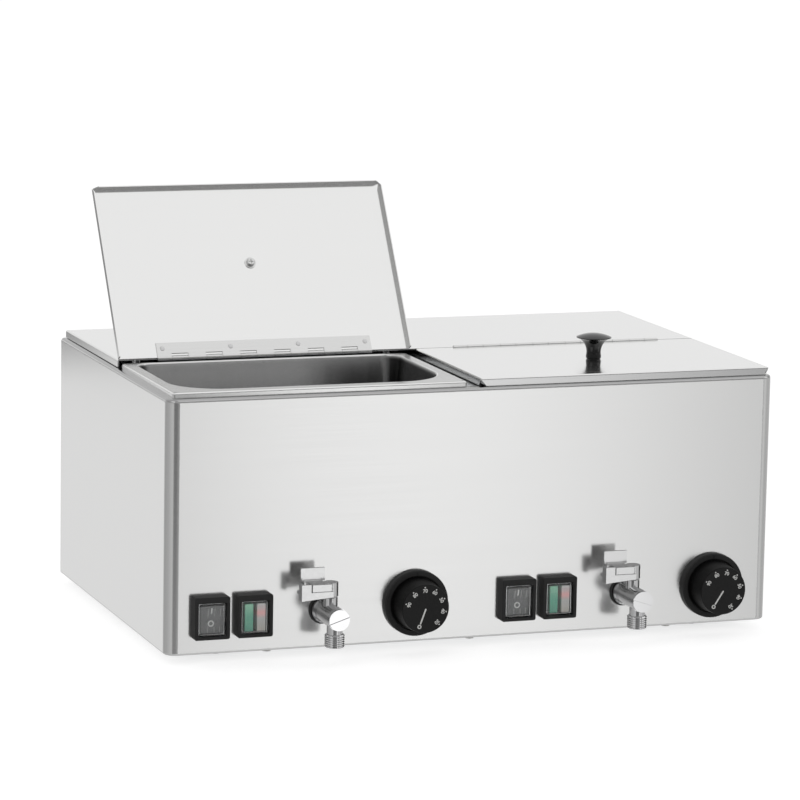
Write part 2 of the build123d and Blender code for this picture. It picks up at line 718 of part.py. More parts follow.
# Switch and lamp housings: bevelled frame on the front, body and blades behind it
frame_y = front_y - frame_depth
cavity_y = front_y + cavity_depth
pivot_y = front_y - pivot_reach
mouth_width = frame_width - 2 * frame_side_bar
mouth_height = frame_height - frame_top_bar - frame_foot_bar
mouth_z = switch_z + (frame_foot_bar - frame_top_bar) / 2
cap_front = frame_depth - cap_recess
cap_back = frame_depth - frame_slope
cap_gap = 2 * fit_gap
for side, s in sides:
    for kind, offset in (("switch", switch_offset), ("lamp", lamp_offset)):
        x = s * tap_x + offset
        with BuildPart() as housing:
            with BuildSketch(front_plane(x, switch_z)):
                RectangleRounded(frame_width, frame_height, frame_corner)
            extrude(amount=frame_depth)
            fillet(housing.edges().group_by(Axis.Y)[0], frame_bevel)
            with BuildSketch(front_plane(x, switch_z)):
                Rectangle(housing_width, housing_height)
            extrude(amount=-housing_depth)
            with BuildSketch(front_plane(x, mouth_z, frame_depth)):
                RectangleRounded(mouth_width, mouth_height, frame_corner)
            with BuildSketch(front_plane(x, mouth_z, frame_depth - frame_slope)):
                RectangleRounded(cavity_width + 2 * cap_thickness, cavity_height + 2 * cap_thickness,
                                 cap_thickness)
            loft(mode=Mode.SUBTRACT)
            slab(x - cavity_width / 2, x + cavity_width / 2, frame_y, cavity_y,
                 mouth_z - cavity_height / 2, mouth_z + cavity_height / 2, Mode.SUBTRACT)
            if kind == "switch":
                pivot_half = cavity_width / 2 + pivot_length
                rod_x(pivot_y, mouth_z, x - pivot_half, x + pivot_half, pivot_radius + running_gap,
                      Mode.SUBTRACT)
            for i in (-1, 1):
                for j in (-1, 1):
                    blade_x = x + i * housing_width / 4
                    blade_z = switch_z + j * housing_height / 4
                    slab(blade_x - blade_thickness / 2, blade_x + blade_thickness / 2,
                         front_y + housing_depth, front_y + housing_depth + blade_length,
                         blade_z - blade_width / 2, blade_z + blade_width / 2)
        save(housing.part, f"{kind}_housing_{side}")

        # Clear cap: thin tray with its rim on the frame's slope
        with BuildPart() as cap:
            with BuildSketch(front_plane(x, mouth_z, cap_back)):
                RectangleRounded(cavity_width + 2 * cap_thickness - cap_gap,
                                 cavity_height + 2 * cap_thickness - cap_gap, cap_thickness)
            extrude(amount=cap_front - cap_back)
            fillet(cap.edges().group_by(Axis.Y)[0], cap_thickness / 2)
            with BuildSketch(front_plane(x, mouth_z, cap_back)):
                RectangleRounded(cavity_width - cap_gap - cap_thickness,
                                 cavity_height - cap_gap - cap_thickness, cap_thickness)
            extrude(amount=cap_front - cap_back - cap_thickness, mode=Mode.SUBTRACT)
        save(cap.part, f"{kind}_cap_{side}")

# Rockers: dished key on two trunnions, stored with the O end pressed
for side, s in sides:
    x = s * tap_x + switch_offset
    with BuildPart() as rocker:
        with BuildSketch(Plane.YZ.offset(-rocker_width / 2)) as rocker_profile:
            half = rocker_height / 2
            with BuildLine():
                heel = pivot_radius * 2
                Polyline((0, -half), (-rocker_depth, -half), (-rocker_depth + rocker_dish, 0),
                         (-rocker_depth, half), (0, half), (heel, heel), (heel, -heel), close=True)
            make_face()
        extrude(amount=rocker_width)
        fillet(rocker.edges().filter_by(Axis.X).group_by(Axis.Y)[0], frame_bevel)
        rod_x(0, 0, -cavity_width / 2 - pivot_length + fit_gap, cavity_width / 2 + pivot_length - fit_gap,
              pivot_radius)
    turned = rocker.part.rotate(Axis.X, rocker_tilt)
    save(turned.moved(Location((x, pivot_y, mouth_z))), f"rocker_{side}")

# Lamp lenses: one green and one red window behind each cap
for side, s in sides:
    for colour, place in (("green", -1), ("red", 1)):
        x = s * tap_x + lamp_offset + place * lens_pitch / 2
        with BuildPart() as lens:
            front = cap_front - cap_thickness - fit_gap
            with BuildSketch(front_plane(x, mouth_z, front)):
                RectangleRounded(lens_width, lens_height, frame_bevel)
            extrude(amount=-(front + cavity_depth))
            fillet(lens.edges().group_by(Axis.Y)[0], frame_bevel / 2)
        save(lens.part, f"{colour}_lens_{side}")

# Thermostats: body behind the front, capillary and feeler under the basin floor
body_back = front_y + sheet + thermostat_depth
half_body = thermostat_width / 2
feeler_z = bowl_under_z - feeler_radius - feeler_drop
for side, s in sides:
    x = s * tap_x + dial_offset
    with BuildPart() as thermostat:
        slab(x - half_body, x + half_body, front_y + sheet, body_back, dial_z - half_body, dial_z + half_body)
        fillet(thermostat.edges().filter_by(Axis.Y), frame_side_bar)
        rod_y(x, dial_z, front_y - ring_web, front_y + sheet, bush_radius)
        rod_y(x, dial_z, front_y - ring_web, front_y + sheet + shaft_in_body, shaft_radius + running_gap,
              Mode.SUBTRACT)
        for i in (-1, 1):
            rod_y(x + i * screw_pitch / 2, dial_z, front_y + sheet, front_y + sheet + base_screw_length,
                  screw_radius + running_gap, Mode.SUBTRACT)
        start_z = dial_z + capillary_rise
        feeler_end = x - capillary_bend - feeler_length
        arc_mid = diagonal * capillary_bend
        with BuildLine() as capillary_path:
            Line((x, body_back - sheet, start_z), (x, feeler_y - capillary_bend, start_z))
            ThreePointArc((x, feeler_y - capillary_bend, start_z),
                          (x, feeler_y - capillary_bend + arc_mid, start_z + capillary_bend - arc_mid),
                          (x, feeler_y, start_z + capillary_bend))
            Line((x, feeler_y, start_z + capillary_bend), (x, feeler_y, feeler_z - capillary_bend))
            ThreePointArc((x, feeler_y, feeler_z - capillary_bend),
                          (x - capillary_bend + arc_mid, feeler_y, feeler_z - capillary_bend + arc_mid),
                          (x - capillary_bend, feeler_y, feeler_z))
        with BuildSketch(Plane(origin=(x, body_back - sheet, start_z), z_dir=(0, 1, 0))):
            Circle(capillary_radius)
        sweep(path=capillary_path.wires()[0])
        rod_x(feeler_y, feeler_z, feeler_end, x - capillary_bend, feeler_radius)
    save(thermostat.part, f"thermostat_{side}")

with BuildPart() as thermostat_screws:
    for side, s in sides:
        for i in (-1, 1):
            x = s * tap_x + dial_offset + i * screw_pitch / 2
            web_y = front_y - ring_web
            rod_y(x, dial_z, web_y - screw_head_height, web_y, screw_head_radius)
            rod_y(x, dial_z, web_y, front_y + sheet + base_screw_length, screw_radius)
save(thermostat_screws.part, "thermostat_screws")

# Dial rings: black ring with a thin web on the front, index tick at the top
for side, s in sides:
    x = s * tap_x + dial_offset
    with BuildPart() as dial_ring:
        with BuildSketch(front_plane(x, dial_z)):
            Circle(ring_radius)
        extrude(amount=ring_depth)
        chamfer(dial_ring.edges().group_by(Axis.Y)[0], ring_bevel)
        rod_y(x, dial_z, front_y - ring_depth, front_y - ring_web, ring_hole_radius, Mode.SUBTRACT)
        rod_y(x, dial_z, front_y - ring_web, front_y, bush_radius + fit_gap, Mode.SUBTRACT)
        for i in (-1, 1):
            rod_y(x + i * screw_pitch / 2, dial_z, front_y - ring_web, front_y, screw_radius + running_gap,
                  Mode.SUBTRACT)
        slab(x - tick_width / 2, x + tick_width / 2, front_y - ring_depth, front_y - ring_depth + tick_depth,
             dial_z + ring_hole_radius, dial_z + ring_radius - ring_bevel, Mode.SUBTRACT)
    save(dial_ring.part, f"dial_ring_{side}")

# Dials: slightly tapered caps pressed on the flattened shafts
dial_bore_end = front_y - ring_web - shaft_reach
for side, s in sides:
    x = s * tap_x + dial_offset
    with BuildPart() as dial:
        with BuildSketch(front_plane(x, dial_z, dial_base_setback)):
            Circle(dial_base_radius)
        with BuildSketch(front_plane(x, dial_z, dial_reach)):
            Circle(dial_face_radius)
        loft()
        fillet(dial.edges().group_by(Axis.Y)[0], dial_edge)
        rod_y(x, dial_z, dial_bore_end, front_y - dial_base_setback, shaft_radius, Mode.SUBTRACT)
        slab(x - shaft_radius, x + shaft_radius, dial_bore_end, front_y - dial_base_setback,
             dial_z + shaft_radius - shaft_flat, dial_z + shaft_radius)
    save(dial.part, f"dial_{side}")

    with BuildPart() as dial_shaft:
        rod_y(x, dial_z, dial_bore_end, front_y + sheet + shaft_in_body, shaft_radius)
        slab(x - shaft_radius, x + shaft_radius, dial_bore_end, front_y - dial_base_setback,
             dial_z + shaft_radius - shaft_flat, dial_z + shaft_radius, Mode.SUBTRACT)
    save(dial_shaft.part, f"dial_shaft_{side}")

# Tap bodies: barrel through the front, bonnet for the stem, threaded outlet below
collar_y = front_y - tap_collar_thickness
barrel_end = front_y - tap_reach
outlet_y = front_y - outlet_reach
chamber_back = front_y - chamber_start
bonnet_z = floor_z + bonnet_top
thread_top = floor_z + outlet_thread_top
thread_end = floor_z + outlet_bottom
thread_count = int((thread_top - thread_end) / thread_pitch)
for side, s in sides:
    x = s * tap_x
    with BuildPart() as tap_body:
        rod_y(x, tap_z, barrel_end, collar_y, tap_radius)
        rod_y(x, tap_z, collar_y, front_y, tap_collar_radius)
        rod_y(x, tap_z, front_y, tail_end, tap_tail_radius)
        for k in (1, 2):
            groove_y = collar_y - k * tap_groove_pitch
            rod_y(x, tap_z, groove_y, groove_y + tap_groove_width, tap_radius, Mode.SUBTRACT)
            rod_y(x, tap_z, groove_y, groove_y + tap_groove_width, tap_radius - tap_groove_depth)
        post(x, stem_y, tap_z, bonnet_z, bonnet_radius)
        post(x, outlet_y, thread_end, tap_z, outlet_neck_radius)
        with BuildSketch(Plane(origin=(x, outlet_y, 0), x_dir=(1, 0, 0), z_dir=(0, -1, 0))):
            with BuildLine():
                points = [(outlet_bore, thread_end)]
                for k in range(thread_count):
                    low = thread_end + k * thread_pitch
                    crest = low + (thread_pitch - thread_crest) / 2
                    points += [(outlet_radius - thread_depth, low), (outlet_radius, crest),
                               (outlet_radius, crest + thread_crest)]
                points += [(outlet_radius - thread_depth, thread_end + thread_count * thread_pitch),
                           (outlet_radius - thread_depth, thread_top), (outlet_bore, thread_top)]
                Polyline(*points, close=True)
            make_face()
        revolve(axis=Axis((x, outlet_y, 0), (0, 0, 1)))
        rod_y(x, tap_z, chamber_back, tail_end, tap_bore, Mode.SUBTRACT)
        rod_y(x, tap_z, tail_end - tap_socket_depth, tail_end, pipe_radius + running_gap, Mode.SUBTRACT)
        rod_y(x, tap_z, barrel_end, chamber_back, chamber_radius, Mode.SUBTRACT)
        post(x, stem_y, tap_z, bonnet_z, stem_radius + running_gap, Mode.SUBTRACT)
        post(x, outlet_y, thread_end, tap_z, outlet_bore, Mode.SUBTRACT)
    save(tap_body.part, f"tap_body_{side}")

with BuildPart() as tap_nuts:
    for side, s in sides:
        with BuildSketch(front_plane(s * tap_x, tap_z, -sheet)):
            RegularPolygon(hex_radius(tap_nut_flats), 6)
            Circle(tap_tail_radius + running_gap, mode=Mode.SUBTRACT)
        extrude(amount=-tap_nut_thickness)
save(tap_nuts.part, "tap_nuts")

# End plugs of the taps: slotted caps with a shank in the barrel
with BuildPart() as tap_plugs:
    for side, s in sides:
        x = s * tap_x
        plug_y = barrel_end - plug_thickness
        rod_y(x, tap_z, plug_y, barrel_end, plug_radius)
        rod_y(x, tap_z, barrel_end, barrel_end + plug_shank_length, chamber_radius - running_gap)
        with Locations(Location((x, plug_y + plug_slot_depth / 2, tap_z), (0, s * plug_slot_turn, 0))):
            Box(2 * plug_radius, plug_slot_depth, plug_slot_width, mode=Mode.SUBTRACT)
save(tap_plugs.part, "tap_plugs")

# Stems: ball with a cross bore, shut at rest, and a spindle up into the lever
lever_top = floor_z + lever_high
for side, s in sides:
    x = s * tap_x
    with BuildPart() as tap_stem:
        with Locations((x, stem_y, tap_z)):
            Sphere(ball_radius)
        rod_x(stem_y, tap_z, x - ball_radius, x + ball_radius, ball_bore, Mode.SUBTRACT)
        post(x, stem_y, tap_z + ball_bore + sheet, lever_top - lever_wall, stem_radius)
    save(tap_stem.part, f"tap_stem_{side}")

# Levers: hub on the spindle, shelf with a front wall and a block behind it, thumb tab at the rear
for side, s in sides:
    x = s * tap_x
    tip = x - lever_length
    wall_y = stem_y - lever_front
    rear_y = stem_y + lever_rear
    shelf_z = floor_z + lever_shelf
    with BuildPart() as tap_lever:
        post(x, stem_y, floor_z + lever_low_hub, lever_top, lever_hub_radius)
        with BuildSketch(front_plane(0, 0, stem_reach + lever_front)):
            with BuildLine():
                post_x = tip + lever_post_width
                Polyline((tip, floor_z + lever_low_tip), (x, floor_z + lever_low_hub), (x, shelf_z),
                         (post_x, shelf_z), (post_x, lever_top), (tip, lever_top), close=True)
            make_face()
        extrude(amount=-lever_wall)
        slab(tip, x, wall_y, rear_y, shelf_z - lever_wall, shelf_z)
        slab(tip, tip + lever_wall, wall_y, stem_y, floor_z + lever_low_tip, lever_top)
        slab(x - block_far, x - block_near, wall_y + block_setback, rear_y - lever_wall,
             shelf_z - lever_wall, lever_top - block_edge)
        slab(x - tab_far, x - tab_near, rear_y - lever_wall, rear_y, shelf_z, lever_top)
        slab(x - tab_far + tab_bridge_inset, x - tab_near - tab_bridge_inset, rear_y - lever_wall / 2,
             rear_y + tab_thickness, lever_top - sheet, floor_z + tab_low + sheet)
        slab(x - tab_far, x - tab_near, rear_y, rear_y + tab_thickness, floor_z + tab_low, floor_z + tab_high)
        post(x, stem_y, floor_z + lever_low_hub, lever_top - lever_wall, stem_radius, Mode.SUBTRACT)
    save(tap_lever.part, f"tap_lever_{side}")

# Cable gland at the rear: bush with hex nut outside, tail and flange through the back
gland_z = floor_z + gland_rise
with BuildPart() as cable_gland:
    with BuildSketch(Plane(origin=(gland_x, back_y, gland_z), x_dir=(1, 0, 0), z_dir=(0, 1, 0))):
        RegularPolygon(hex_radius(gland_nut_flats), 6)
    extrude(amount=gland_nut_length)
    rod_y(gland_x, gland_z, back_y + gland_nut_length, back_y + gland_nut_length + gland_head_length,
          gland_head_radius)
    chamfer(cable_gland.edges().group_by(Axis.Y)[-1], gland_head_radius - gland_bore - sheet)
    rod_y(gland_x, gland_z, back_y - gland_tail_length, back_y, gland_radius)
    rod_y(gland_x, gland_z, back_y - gland_tail_length, back_y + gland_nut_length + gland_head_length,
          gland_bore, Mode.SUBTRACT)
save(cable_gland.part, "cable_gland")

with BuildPart() as gland_nut:
    with BuildSketch(Plane(origin=(gland_x, back_y - sheet, gland_z), x_dir=(1, 0, 0), z_dir=(0, -1, 0))):
        RegularPolygon(hex_radius(gland_nut_flats), 6)
        Circle(gland_radius + running_gap, mode=Mode.SUBTRACT)
    extrude(amount=gland_nut_length - sheet)
save(gland_nut.part, "gland_nut")

# Terminal block on the base plate
with BuildPart() as terminal_block:
    terminal_x = side_x - terminal_inset_x
    terminal_y = back_y - terminal_inset_y
    slab(terminal_x - terminal_length / 2, terminal_x + terminal_length / 2, terminal_y - terminal_width / 2,
         terminal_y + terminal_width / 2, base_high, base_high + terminal_height)
    with Locations((terminal_x, terminal_y, base_high + terminal_height)):
        with GridLocations(terminal_hole_pitch, terminal_width / 2, terminal_hole_count, 2):
            Hole(terminal_hole_radius, terminal_height / 2)
save(terminal_block.part, "terminal_block")
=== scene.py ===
import json
import math

import bmesh
import bpy
from mathutils import Matrix, Vector


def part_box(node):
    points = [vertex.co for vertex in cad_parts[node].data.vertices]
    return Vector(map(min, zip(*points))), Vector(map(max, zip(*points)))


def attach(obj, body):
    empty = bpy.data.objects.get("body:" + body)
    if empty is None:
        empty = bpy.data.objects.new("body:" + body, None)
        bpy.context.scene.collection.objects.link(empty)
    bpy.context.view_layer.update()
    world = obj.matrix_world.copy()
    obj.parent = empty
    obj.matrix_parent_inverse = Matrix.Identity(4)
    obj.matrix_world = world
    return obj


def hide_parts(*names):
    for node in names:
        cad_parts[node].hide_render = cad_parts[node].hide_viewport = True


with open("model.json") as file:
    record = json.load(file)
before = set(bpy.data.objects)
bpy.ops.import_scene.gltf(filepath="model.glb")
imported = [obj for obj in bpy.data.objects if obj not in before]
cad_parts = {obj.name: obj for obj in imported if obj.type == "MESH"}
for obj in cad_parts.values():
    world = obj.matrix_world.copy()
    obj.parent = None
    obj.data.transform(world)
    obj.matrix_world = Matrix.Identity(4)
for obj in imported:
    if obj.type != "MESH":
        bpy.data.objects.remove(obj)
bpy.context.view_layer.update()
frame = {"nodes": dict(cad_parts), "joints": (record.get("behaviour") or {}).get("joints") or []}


# Casing: one wrap of ground stainless sheet, bent round the front corners and turned in at the rim.
# The grain runs level along the front and sides and is finer than a hair, so the sheet looks satin.
# Along the bend at the top the sheet is painted darker than on its flat faces, as painted shade on the faces
# that look up.
def grey(level, blue=0.0):
    return (level, level, level + blue)


def add_node(tree, kind, sockets=None, **values):
    node = tree.nodes.new(kind)
    for name, value in values.items():
        setattr(node, name, value)
    for name, value in (sockets or {}).items():
        node.inputs[name].default_value = value
    return node


def join(tree, *links):
    for source, output, target, socket in links:
        tree.links.new(source.outputs[output], target.inputs[socket])


def shader_of(finish):
    return finish.node_tree.nodes["Principled BSDF"]


def new_finish(name, shade, roughness, metallic=0.0, sockets=None):
    finish = bpy.data.materials.new(name)
    finish.use_nodes = True
    finish.diffuse_color = (*shade, 1.0)
    values = {"Base Color": (*shade, 1.0), "Roughness": roughness, "Metallic": metallic}
    for socket, value in {**values, **(sockets or {})}.items():
        shader_of(finish).inputs[socket].default_value = value
    return finish


def set_stops(ramp, stops):
    while len(ramp.elements) < len(stops):
        ramp.elements.new(0.5)
    for element, (position, shade) in zip(ramp.elements, stops):
        element.position = position
        element.color = (*shade, 1.0)


noise_low = 0.3
noise_high = 0.7
relief_depth = 0.0001


def grain(finish, stretch, detail, shades, roughness, relief):
    tree = finish.node_tree
    shader = shader_of(finish)
    place = add_node(tree, "ShaderNodeTexCoord")
    mapping = add_node(tree, "ShaderNodeMapping", {"Scale": stretch})
    noise = add_node(tree, "ShaderNodeTexNoise", {"Scale": 1.0, "Detail": detail})
    colour = add_node(tree, "ShaderNodeValToRGB")
    set_stops(colour.color_ramp, ((noise_low, shades[0]), (noise_high, shades[1])))
    rough = add_node(tree, "ShaderNodeMapRange", {"From Min": noise_low, "From Max": noise_high,
                                                  "To Min": roughness[0], "To Max": roughness[1]})
    bump = add_node(tree, "ShaderNodeBump", {"Strength": relief, "Distance": relief_depth})
    join(tree, (place, "Object", mapping, "Vector"), (mapping, "Vector", noise, "Vector"),
         (noise, "Fac", colour, "Fac"), (colour, "Color", shader, "Base Color"),
         (noise, "Fac", rough, "Value"), (rough, "Result", shader, "Roughness"),
         (noise, "Fac", bump, "Height"), (bump, "Normal", shader, "Normal"))


def tone_over(finish, source, axis, start, full, tone, both_ways=False):
    tree = finish.node_tree
    shader = shader_of(finish)
    place = add_node(tree, "ShaderNodeTexCoord")
    split = add_node(tree, "ShaderNodeSeparateXYZ")
    share = add_node(tree, "ShaderNodeMapRange", {"From Min": start, "From Max": full})
    mix = add_node(tree, "ShaderNodeMix", data_type="RGBA", sockets={"B": (*tone, 1.0)})
    tree.links.new(shader.inputs["Base Color"].links[0].from_socket, mix.inputs["A"])
    join(tree, (place, source, split, "Vector"), (split, axis, share, "Value"),
         (share, "Result", mix, "Factor"), (mix, "Result", shader, "Base Color"))
    if both_ways:
        unsigned = add_node(tree, "ShaderNodeMath", operation="ABSOLUTE")
        join(tree, (split, axis, unsigned, 0), (unsigned, "Value", share, "Value"))


def dress(finish, *nodes):
    for node in nodes:
        piece = frame["nodes"][node]
        if not piece.material_slots:
            piece.data.materials.append(finish)
        for slot in piece.material_slots:
            slot.material = finish


sheet_shades = (grey(0.792, -0.005), grey(0.808, -0.005))
ground_steel = new_finish("ground_steel", grey(0.80, -0.005), roughness=0.25, metallic=1.0)
grain(ground_steel, stretch=(9.0, 9.0, 2600.0), detail=3.0, shades=sheet_shades,
      roughness=(0.195, 0.215), relief=0.012)
# Painted shade: faces that look up are painted darker.
tone_over(ground_steel, "Normal", "Z", start=0.1, full=0.6, tone=grey(0.40))
dress(ground_steel, "casing")

# Base plate, inner rails and thermostat bodies: zinc-coated sheet, dull, with the spangle of the coating.
# The plate lies on the casing's base flange, and the rails hang under the rim and the hinges.
sides = ("left", "right")


def pair(*names):
    return [f"{name}_{side}" for name in names for side in sides]


zinc_sheet = new_finish("zinc_sheet", (0.55, 0.56, 0.57), roughness=0.45, metallic=1.0)
tree = zinc_sheet.node_tree
shader = shader_of(zinc_sheet)
place = add_node(tree, "ShaderNodeTexCoord")
spangle = add_node(tree, "ShaderNodeTexVoronoi", {"Scale": 120.0})
dullness = add_node(tree, "ShaderNodeMapRange", {"To Min": 0.34, "To Max": 0.55})
shade = add_node(tree, "ShaderNodeValToRGB")
set_stops(shade.color_ramp, ((0.0, (0.50, 0.51, 0.52)), (1.0, (0.60, 0.61, 0.62))))
join(tree, (place, "Object", spangle, "Vector"), (spangle, "Color", dullness, "Value"),
     (dullness, "Result", shader, "Roughness"), (spangle, "Color", shade, "Fac"),
     (shade, "Color", shader, "Base Color"))
dress(zinc_sheet, "base_plate", "cross_rail", "centre_rail", *pair("thermostat"))

# Screws and nuts: zinc-plated steel, a little blotchy from the plating bath.
# They hold the base plate, the rear deck, the heaters, the taps and the thermostats.
zinc_plate = new_finish("zinc_plate", grey(0.62, -0.02), roughness=0.35, metallic=1.0)
grain(zinc_plate, stretch=(400.0, 400.0, 400.0), detail=2.0, shades=(grey(0.56, -0.03), grey(0.66, -0.02)),
      roughness=(0.3, 0.42), relief=0.05)
dress(zinc_plate, "base_screws", "deck_nuts", "heater_nuts", "tap_nuts", "thermostat_screws")

# Feet: four rubber cones, matt black with a fine moulded grain.
# Each has a snap plug that goes through the base plate.
rubber = new_finish("rubber", grey(0.03), roughness=0.7)
grain(rubber, stretch=(900.0, 900.0, 900.0), detail=2.0, shades=(grey(0.024), grey(0.04)),
      roughness=(0.62, 0.8), relief=0.2)
dress(rubber, "feet")

# Basins: deep-drawn from bright sheet, each with a flat rim plate, a turned-down edge and a rounded lip.
# The drawing leaves faint upright marks. The walls are painted darker than the edge and the end walls
# darkest, as painted shade.
# Each hangs by its rim, with a drain hole in the floor and two studs below it for the heater.
side_rim = 0.01085
front_rim = 0.0126
rear_rim = 0.0036
rim_edge = 0.0048
rim_bend = 0.0016
lip = 0.0018
shade_fade_high = 0.0005
shade_fade_low = 0.0035
bowl_depth = 0.15
bowl_taper = math.radians(4.0)
bowl_floor_radius = 0.018
front_corner = 0.041
rear_corner = 0.014
least_corner = 0.002
flat_hold = 0.00005
relief_inset = 0.0032
relief_radius = 0.0009
drain_radius = 0.0072
stud_radius = 0.002
stud_inset = 0.02425
sheet_thickness = 0.001
merge_gap = 0.000001
sharp_angle = math.radians(35.0)

drawing_marks = (160.0, 160.0, 6.0)
drawn_roughness = (0.2, 0.23)
drawn_relief = 0.006
# Painted shade: the walls' grey is darker than the rim steel's.
drawn_steel = new_finish("drawn_steel", grey(0.5), roughness=0.3, metallic=1.0)
grain(drawn_steel, stretch=drawing_marks, detail=3.0, shades=(grey(0.54), grey(0.56)),
      roughness=drawn_roughness, relief=drawn_relief)
rim_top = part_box("basin_left")[1].z
# Painted shade: walls that face the ends are painted near black.
tone_over(drawn_steel, "Normal", "X", start=0.1, full=0.65, tone=grey(0.06), both_ways=True)
# The painted shade fades out just under the lip, to a paler grey.
tone_over(drawn_steel, "Object", "Z", start=rim_top - shade_fade_low, full=rim_top - shade_fade_high,
          tone=grey(0.68, -0.005))
rim_steel = new_finish("rim_steel", grey(0.8, -0.005), roughness=0.2, metallic=1.0)
grain(rim_steel, stretch=drawing_marks, detail=3.0, shades=(grey(0.79, -0.005), grey(0.81, -0.005)),
      roughness=drawn_roughness, relief=drawn_relief)
# Painted shade: the flat top of the rim is painted darker than its bend.
tone_over(rim_steel, "Normal", "Z", start=0.85, full=0.98, tone=grey(0.46, -0.005))
basin_finishes = (drawn_steel, rim_steel)


def add_object(name, data):
    piece = bpy.data.objects.new(name, data)
    bpy.context.scene.collection.objects.link(piece)
    return piece


def finished_mesh(bare):
    ready = bare.evaluated_get(bpy.context.evaluated_depsgraph_get())
    mesh = bpy.data.meshes.new_from_object(ready)
    bpy.data.objects.remove(bare)
    return mesh


def smooth(mesh):
    for polygon in mesh.polygons:
        polygon.use_smooth = True


def quarter(steps):
    return [math.pi / 2 * i / steps for i in range(steps + 1)]


def circle(radius, count, middle=(0.0, 0.0)):
    turns = [2 * math.pi * i / count for i in range(count)]
    return [(middle[0] + radius * math.cos(turn), middle[1] + radius * math.sin(turn)) for turn in turns]


def round_ring(shape, radius, z, count, middle=(0.0, 0.0)):
    return [shape.verts.new((x, y, z)) for x, y in circle(radius, count, middle)]


def rounded_ring(shape, low, high, inset, corner_radii, z, steps=10):
    near, far = corner_radii
    corners = ((low.x, low.y, near), (high.x, low.y, near), (high.x, high.y, far), (low.x, high.y, far))
    points = []
    for k, (x, y, corner) in enumerate(corners):
        radius = max(corner - inset, least_corner)
        middle_x = x + (1 if k in (0, 3) else -1) * (inset + radius)
        middle_y = y + (1 if k < 2 else -1) * (inset + radius)
        for i in range(steps + 1):
            angle = math.pi * (1 + (k + i / steps) / 2)
            spot = (middle_x + radius * math.cos(angle), middle_y + radius * math.sin(angle), z)
            points.append(shape.verts.new(spot))
    return points


def bridge(shape, rings):
    for first, second in zip(rings, rings[1:]):
        for i in range(len(first)):
            n = (i + 1) % len(first)
            shape.faces.new((first[i], first[n], second[n], second[i]))


def fill(shape, rings):
    edges = []
    for ring in rings:
        for i in range(len(ring)):
            ends = (ring[i], ring[(i + 1) % len(ring)])
            edges.append(shape.edges.get(ends) or shape.edges.new(ends))
    bmesh.ops.triangle_fill(shape, edges=edges, use_beauty=True)


def basin_sheet(low, high, drain):
    top = high.z
    floor_z = top - bowl_depth
    mouth_low = Vector((low.x + side_rim, low.y + front_rim, 0))
    mouth_high = Vector((high.x - side_rim, high.y - rear_rim, 0))
    skin = bmesh.new()

    def edge_ring(inset, z):
        return rounded_ring(skin, low, high, inset, (rim_bend, rim_bend), z)

    def bowl_ring(inset, z):
        return rounded_ring(skin, mouth_low, mouth_high, inset, (front_corner, rear_corner), z)

    edge_rings = [edge_ring(0.0, top - rim_edge), edge_ring(0.0, top - rim_bend - flat_hold)]
    for turn in quarter(4):
        edge_rings.append(edge_ring(rim_bend * (1 - math.cos(turn)), top - rim_bend * (1 - math.sin(turn))))
    edge_rings.append(edge_ring(rim_bend + flat_hold, top))
    bowl_rings = [bowl_ring(-lip - flat_hold, top)]
    for turn in quarter(6):
        bowl_rings.append(bowl_ring(lip * (math.sin(turn) - 1), top - lip * (1 - math.cos(turn))))
    wall_end = (bowl_depth - lip - bowl_floor_radius) * math.tan(bowl_taper)
    for turn in quarter(8):
        inset = wall_end + bowl_floor_radius * (1 - math.cos(turn))
        bowl_rings.append(bowl_ring(inset, floor_z + bowl_floor_radius * (1 - math.sin(turn))))

    bridge(skin, edge_rings)
    reliefs = []
    for x in (low.x + relief_inset, high.x - relief_inset):
        for y in (low.y + relief_inset, high.y - relief_inset):
            reliefs.append(round_ring(skin, relief_radius, top, count=14, middle=(x, y)))
    fill(skin, [edge_rings[-1], bowl_rings[0], *reliefs])
    for face in skin.faces:
        face.material_index = basin_finishes.index(rim_steel)
    bridge(skin, bowl_rings)
    drain_middle = ((drain[0].x + drain[1].x) / 2, drain[1].y - drain_radius)
    fill(skin, [bowl_rings[-1], round_ring(skin, drain_radius, floor_z, count=20, middle=drain_middle)])

    bmesh.ops.remove_doubles(skin, verts=skin.verts[:], dist=merge_gap)
    bmesh.ops.recalc_face_normals(skin, faces=skin.faces[:])
    skin.normal_update()
    if max(skin.faces, key=lambda face: face.calc_center_median().z).normal.z < 0:
        bmesh.ops.reverse_faces(skin, faces=skin.faces[:])
    mesh = bpy.data.meshes.new("basin_sheet")
    skin.to_mesh(mesh)
    skin.free()
    for finish in basin_finishes:
        mesh.materials.append(finish)
    return mesh


for side in sides:
    low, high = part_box(f"basin_{side}")
    bare = add_object("basin_sheet", basin_sheet(low, high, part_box(f"drain_pipe_{side}")))
    wall = bare.modifiers.new("wall", "SOLIDIFY")
    wall.thickness = sheet_thickness
    wall.offset = -1.0
    mesh = finished_mesh(bare)
    heater_low, heater_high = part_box(f"heater_{side}")
    heater_y = (heater_low.y + heater_high.y) / 2
    stud_top = high.z - bowl_depth - sheet_thickness
    studs = bmesh.new()
    studs.from_mesh(mesh)
    for x in (heater_low.x + stud_inset, heater_high.x - stud_inset):
        stud_place = Matrix.Translation((x, heater_y, (low.z + stud_top) / 2))
        bmesh.ops.create_cone(studs, cap_ends=True, segments=16, radius1=stud_radius, radius2=stud_radius,
                              depth=stud_top - low.z, matrix=stud_place)
    studs.to_mesh(mesh)
    studs.free()
    smooth(mesh)
    mesh.set_sharp_from_angle(angle=sharp_angle)
    bowl = add_object(f"basin_bowl_{side}", mesh)
    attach(bowl, "housing")
    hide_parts(f"basin_{side}")

